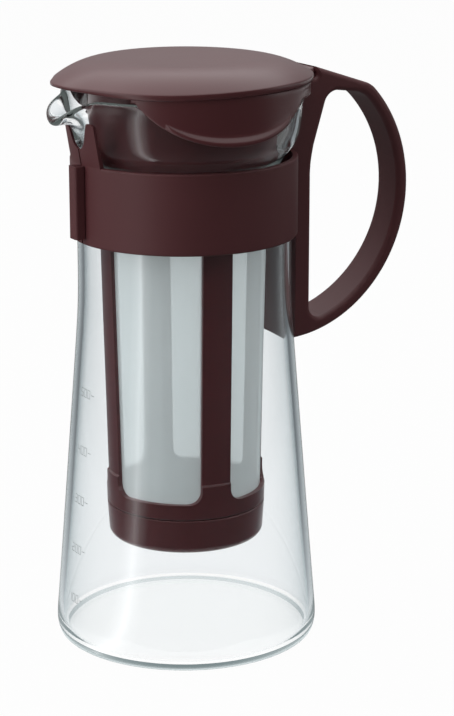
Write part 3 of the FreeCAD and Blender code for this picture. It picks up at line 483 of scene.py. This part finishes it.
def skirt_column(off):
    """Section of a finger skirt at an angle off its middle."""
    lower = SKIRT_LOW + SKIRT_RISE * (off / RISE_HALF) ** 2 + FLICK * (off / FLICK_HALF) ** FLICK_POWER
    lower = min(lower, SPOUT_WALL_LOW if off < 0 else HANDLE_WALL_LOW)
    ledge = math.sqrt(max(0.0, 1 - (off / LEDGE_HALF) ** 2))
    crease = CREASE_LOW + CREASE_RISE * abs(off / LEDGE_HALF) ** CREASE_POWER
    crease = min(max(crease, lower + CREASE_CLEAR + LEDGE_FALL * ledge), CREASE_HIGH)
    lines = {"top": SKIRT_TOP, "wall": (crease + WALL_TOP) / 2, "crease": crease, "lower": lower}
    return [(radius + out * ledge, lines[line] + above - fall * ledge)
            for radius, out, line, above, fall in SKIRT]


def strip_faces(columns, rows):
    """Faces of a bar whose cross sections stand side by side, closed at both ends."""
    faces = [tuple(range(rows)), tuple(range((columns - 1) * rows, columns * rows))[::-1]]
    for column in range(columns - 1):
        for row in range(rows):
            near, far = column * rows + row, column * rows + (row + 1) % rows
            faces.append((near, far, far + rows, near + rows))
    return faces


def skirt_skin(side):
    """Points and faces of one finger skirt, from the spout's side to the handle."""
    points = []
    for off in range(SKIRT_START, SKIRT_END + 1):
        turn = math.radians(180 - side * (SKIRT_MIDDLE + off))
        points += [on_circle(radius, turn, height) for radius, height in skirt_column(off)]
    return points, strip_faces(SKIRT_END + 1 - SKIRT_START, len(SKIRT))


TAB_INNER, TAB_OUTER, TAB_HALF, TAB_LOW, TAB_HIGH = 41.0, 47.9, 8.3, 197.3, 200.2
TAB_EDGE_LOW, TAB_EDGE_SIDE, TAB_EDGE_HIGH = 0.6, 0.5, 0.7
# how far before its outer end the tab is how much smaller
TAB_END = [(1.5, 1.0), (0.4, 0.96), (0.0, 0.85)]


def tab_skin():
    """Points and faces of the lid's tab, with softened edges."""
    low_side, high_side = TAB_LOW + TAB_EDGE_LOW, TAB_HIGH - TAB_EDGE_HIGH
    sole, crest = TAB_HALF - TAB_EDGE_SIDE, TAB_HALF - TAB_EDGE_HIGH
    section = [(TAB_HALF, low_side), (sole, TAB_LOW), (-sole, TAB_LOW), (-TAB_HALF, low_side),
               (-TAB_HALF, high_side), (-crest, TAB_HIGH), (crest, TAB_HIGH), (TAB_HALF, high_side)]
    stations = [(TAB_INNER, 1.0)] + [(TAB_OUTER - before, size) for before, size in TAB_END]
    middle = (TAB_LOW + TAB_HIGH) / 2
    points = [(x * MM, y * size * MM, (middle + (z - middle) * size) * MM)
              for x, size in stations for y, z in section]
    return points, strip_faces(len(stations), len(section))


# section of the ring under the lid that finds the strainer's cup: radius and height
RING = [(29.5, 203.9), (29.5, 186.9), (29.8, 186.5), (30.3, 186.5), (30.9, 187.9), (30.9, 203.9)]
RING_COLUMNS = 96


def ring_skin():
    """Points and faces of the ring under the lid."""
    points = []
    for column in range(RING_COLUMNS + 1):
        turn = 2 * math.pi * column / RING_COLUMNS
        points += [on_circle(radius, turn, height) for radius, height in RING]
    return points, strip_faces(RING_COLUMNS + 1, len(RING))


def merged(*skins):
    """Several skins as one."""
    points, faces = [], []
    for more_points, more_faces in skins:
        start = len(points)
        points += more_points
        faces += [tuple(corner + start for corner in face) for face in more_faces]
    return points, faces


def make_lid(material):
    skins = [lathe(DOME, DOME_COLUMNS, dome_point), skirt_skin(1), skirt_skin(-1), tab_skin(), ring_skin()]
    lid = new_piece("moulded_lid", *merged(*skins), material, "lid", rounding=1)
    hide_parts("lid")


# measuring marks: millilitres and the height of their stroke
LEVELS = {100: 18.8, 200: 36.8, 300: 54.6, 400: 72.4, 500: 92.8}
STROKE_START, STROKE_END, STROKE = 5.0, 6.6, 0.26
# which of the seven bars each figure has: top, two upper sides, middle, two lower sides, bottom
FIGURES = {0: "1110111", 1: "0010010", 2: "1011101", 3: "1011011", 4: "0111010", 5: "1101011"}
BARS = [((0, 2), (1, 2)), ((0, 1), (0, 2)), ((1, 1), (1, 2)), ((0, 1), (1, 1)), ((0, 0), (0, 1)),
        ((1, 0), (1, 1)), ((0, 0), (1, 0))]
FIGURE_WIDE, FIGURE_TALL, FIGURE_GAP, FIGURES_START = 1.5, 2.8, 0.8, -1.9
# outer radius of the jug's cone near its foot and near its top, at their heights, and the enamel's stand-off
CONE_FOOT, CONE_FOOT_HEIGHT, CONE_TOP, CONE_TOP_HEIGHT = 46.7, 8, 37.7, 118
ENAMEL_PROUD = 0.05


def mark_bar(start, end):
    """Corners of a printed bar between two points (along, height), long enough to close its corners."""
    (x1, z1), (x2, z2) = start, end
    half = STROKE / 2
    return [(x1 - half, z1 - half), (x2 + half, z1 - half), (x2 + half, z2 + half), (x1 - half, z2 + half)]


def mark_radius(height):
    """Radius of the marks' skin at a height."""
    up = (height - CONE_FOOT_HEIGHT) / (CONE_TOP_HEIGHT - CONE_FOOT_HEIGHT)
    return CONE_FOOT + (CONE_TOP - CONE_FOOT) * up + ENAMEL_PROUD


def make_marks(material):
    """Measuring marks printed on the jug: a stroke and its figures at each level."""
    bars = []
    for amount, level in LEVELS.items():
        bars.append(mark_bar((STROKE_START, level), (STROKE_END, level)))
        for place, figure in enumerate(str(amount)):
            left = FIGURES_START + place * (FIGURE_WIDE + FIGURE_GAP)
            for has, ends in zip(FIGURES[int(figure)], BARS):
                if has == "1":
                    bars.append(mark_bar(*[
                        (left + x * FIGURE_WIDE, level + (z - 1) * FIGURE_TALL / 2) for x, z in ends]))
    points = []
    for bar in bars:
        for along, height in bar:
            radius = mark_radius(height)
            points.append(on_circle(radius, math.pi + along / radius, height))
    faces = [tuple(range(start, start + 4)) for start in range(0, len(points), 4)]
    new_piece("measuring_marks", points, faces, material, "jug")


def dress(node, material):
    """Gives a CAD piece its finish."""
    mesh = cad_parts[node].data
    mesh.materials.clear()
    mesh.materials.append(material)


# ------------------------------------------------------------------ pieces
band_brown = brown_moulding("satin_brown", roughness=0.54, gloss=0.4)
strainer_brown = brown_moulding("strainer_brown", roughness=0.3)
woven_mesh = filter_mesh("filter_mesh")
make_jug(blown_glass("clear_glass"))
make_lid(brown_moulding("lid_brown", roughness=0.34, gate=True))
make_marks(mark_enamel("mark_enamel"))
for node in ("handle_band", "band_clip"):
    dress(node, band_brown)
for node in ("strainer_frame", "strainer_cap"):
    dress(node, strainer_brown)
for node in ("mesh_back_right", "mesh_back_left", "mesh_front_left", "mesh_front_right"):
    dress(node, woven_mesh)


# ------------------------------------------------------------------ studio
FLOOR_SIZE, FLOOR_DROP = 6.0, 0.0002
FLOOR_GREY = (0.45, 0.45, 0.45)
FLOOR_WHITE, THROUGH_GLASS = 0.975, (1.09, 1.09, 1.09)


def floor():
    """Pale floor: white to the camera and to shining and bent rays, with the object's soft shadow kept."""
    finish = Finish("pale_floor")
    lit = finish.add("ShaderNodeBsdfDiffuse", {}, Color=FLOOR_GREY)
    glow = finish.light(finish.tint(finish.ray("Is Transmission Ray"), WHITE, THROUGH_GLASS))
    seen = (finish.ray("Is Camera Ray") + finish.ray("Is Glossy Ray")) * FLOOR_WHITE
    half = FLOOR_SIZE / 2
    corners = [(-half, -half), (half, -half), (half, half), (-half, half)]
    material = finish.done(finish.blend(seen, lit, glow))
    new_object("floor", [(x, y, -FLOOR_DROP) for x, y in corners], [(0, 1, 2, 3)], material)


CARD_INNER, CARD_OUTER, CARD_LIFT = 0.0475, 0.42, 0.0004
CARD_LOW, CARD_HIGH, CARD_SIDES = 0.10, 0.20, 96
# the white panel's half width and how far before the axis its angles are taken from, and what bent rays see
# by that angle as a share of half a turn
PANEL_HALF, PANEL_CENTRE = 0.045, 0.06
PANEL = [(0.0, (0.94, 0.965, 0.98)), (0.05, (0.94, 0.965, 0.98)), (0.09, (0.52, 0.56, 0.585)),
         (0.15, (0.18, 0.2, 0.215)), (0.3, (0.08, 0.09, 0.095)), (0.6, (0.07, 0.075, 0.08)),
         (1.0, (0.06, 0.06, 0.06))]
# rays that came straight through see a pale room instead from this angle on
ROOM, ROOM_START, ROOM_END = (0.9, 0.91, 0.92), 0.22, 0.34
# what shining rays see, by the angle from the front, with the upright strip at -45
STRIP_AND_CARDS = [
    (-180, 0.30), (-160, 0.14), (-120, 0.26), (-81, 0.14), (-57, 0.14), (-50, 1.4), (-45, 3.4), (-40, 1.4),
    (-33, 0.12), (0, 0.03), (59, 0.03), (100, 0.07), (136, 0.08), (160, 0.1), (180, 0.30)]
STRIP_PEAK = 3.4
# the table's own paleness near the object, and where it ends
TABLE_START, TABLE_END, TABLE_PALE = 0.08, 0.30, 0.09


def card_finish():
    """Light of the cards, for shining rays and for rays that leave the glass."""
    finish = Finish("side_card")
    behind, across = finish.behind_axis(), finish.beside_axis()
    beside = (abs(across) - PANEL_HALF).at_least(0.0)
    spread = beside.angle_from(behind + PANEL_CENTRE) / math.pi
    came_straight = (finish.ray("Glossy Depth") + finish.ray("Diffuse Depth")) < 1
    room = finish.fade(spread, ROOM_START, ROOM_END) * came_straight
    panel = finish.tint(room, finish.ramp(spread, PANEL), ROOM)
    stops = [((degrees + 180) / 360, [grey / STRIP_PEAK] * 3) for degrees, grey in STRIP_AND_CARDS]
    ring = finish.ramp(across.angle_from(-behind) / (2 * math.pi) + 0.5, stops)
    table = finish.fade(finish.from_axis(), TABLE_START, TABLE_END, TABLE_PALE, 0.0)
    lit_ring = finish.tint(1.0, finish.stronger(ring, STRIP_PEAK), table, way="ADD")
    shining = finish.ray("Is Glossy Ray") * (1 - finish.ray("Is Transmission Ray"))
    return finish.done(finish.light(finish.tint(shining, panel, lit_ring)))


def side_cards():
    """Dish round the object that only shining and bent rays meet: a white panel behind it, dark cards beside
    it, and a bright upright strip at the left."""
    points, faces = [], []
    for side in range(CARD_SIDES):
        turn = 2 * math.pi * side / CARD_SIDES
        top = CARD_LOW + (CARD_HIGH - CARD_LOW) * (0.5 - 0.5 * math.cos(turn - SIGHT))
        for radius, height in ((CARD_INNER, CARD_LIFT), (CARD_OUTER, CARD_LIFT), (CARD_OUTER, top)):
            points.append((radius * math.cos(turn), radius * math.sin(turn), height))
        first, second = 3 * side, 3 * ((side + 1) % CARD_SIDES)
        faces += [(first + row, first + row + 1, second + row + 1, second + row) for row in range(2)]
    card = new_object("side_cards", points, faces, card_finish())
    for ray in ("camera", "diffuse", "shadow", "volume_scatter"):
        setattr(card, "visible_" + ray, False)


# how bright the surroundings are to what they light, and to shining rays at the horizon and overhead
SPILL, SHINE_LOW, SHINE_HIGH = 0.19, 0.3, 1.3


def surroundings():
    """White surroundings for what is seen, milder ones for what they light and what shines."""
    sky = bpy.data.worlds.new("studio")
    bpy.context.scene.world = sky
    finish = Finish("studio", sky)
    white = finish.ray("Is Camera Ray").at_least(finish.ray("Is Transmission Ray"))
    shining = finish.ray("Is Glossy Ray") * (1 - white)
    heading = finish.add("ShaderNodeTexCoord", {"take": "Generated"})
    to_the_back = heading.part("Y") * 0.5 + 0.5
    shine = (SHINE_LOW + heading.part("Z") * (SHINE_HIGH - SHINE_LOW)) * to_the_back
    level = SPILL + white * (1 - SPILL) + shining * (shine - SPILL)
    finish.done(finish.add("ShaderNodeBackground", {}, Color=WHITE, Strength=level))


CAMERA_AWAY, CAMERA_HEIGHT, CAMERA_DIP, CAMERA_SWING = 0.750, 0.306, 0.2685, 0.0197
CAMERA_SENSOR, CAMERA_REACH, CAMERA_NEAR = 36.0, 2204 / 716, 0.01


def camera():
    """Camera at the object's front left, looking down a little."""
    lens = bpy.data.cameras.new("camera")
    lens.sensor_width = CAMERA_SENSOR
    lens.lens = CAMERA_SENSOR * CAMERA_REACH
    lens.clip_start = CAMERA_NEAR
    view = bpy.data.objects.new("camera", lens)
    view.location = around(0, CAMERA_AWAY, CAMERA_HEIGHT)
    view.rotation_euler = (math.pi / 2 - CAMERA_DIP, 0, -(CAMERA_TURN + CAMERA_SWING))
    bpy.context.scene.collection.objects.link(view)
    bpy.context.scene.camera = view


def around(degrees, away, height):
    """A spot at an angle to the right of the camera's own direction."""
    angle = -math.pi / 2 - CAMERA_TURN + math.radians(degrees)
    return (away * math.cos(angle), away * math.sin(angle), height)


def softbox(name, spot, aim, size, power):
    """Rectangular lamp at a spot, aimed at a point."""
    lamp = bpy.data.lights.new(name, "AREA")
    lamp.shape = "RECTANGLE"
    lamp.size, lamp.size_y = size
    lamp.energy = power
    box = bpy.data.objects.new(name, lamp)
    box.location = spot
    box.rotation_euler = (Vector(aim) - Vector(spot)).to_track_quat("-Z", "Y").to_euler()
    box.visible_camera = False
    box.visible_transmission = False
    bpy.context.scene.collection.objects.link(box)


floor()
side_cards()
surroundings()
camera()
softbox("top_box", spot=(0.0, 0.12, 1.1), aim=(0, 0, 0.1), size=(2.0, 2.0), power=15)
softbox("left_box", spot=around(-68, 0.9, 0.35), aim=(0, 0, 0.11), size=(0.9, 0.9), power=4.6)
softbox("right_box", spot=around(95, 0.9, 0.35), aim=(0, 0, 0.11), size=(0.4, 0.6), power=0.6)

bpy.context.scene.view_settings.view_transform = "Standard"
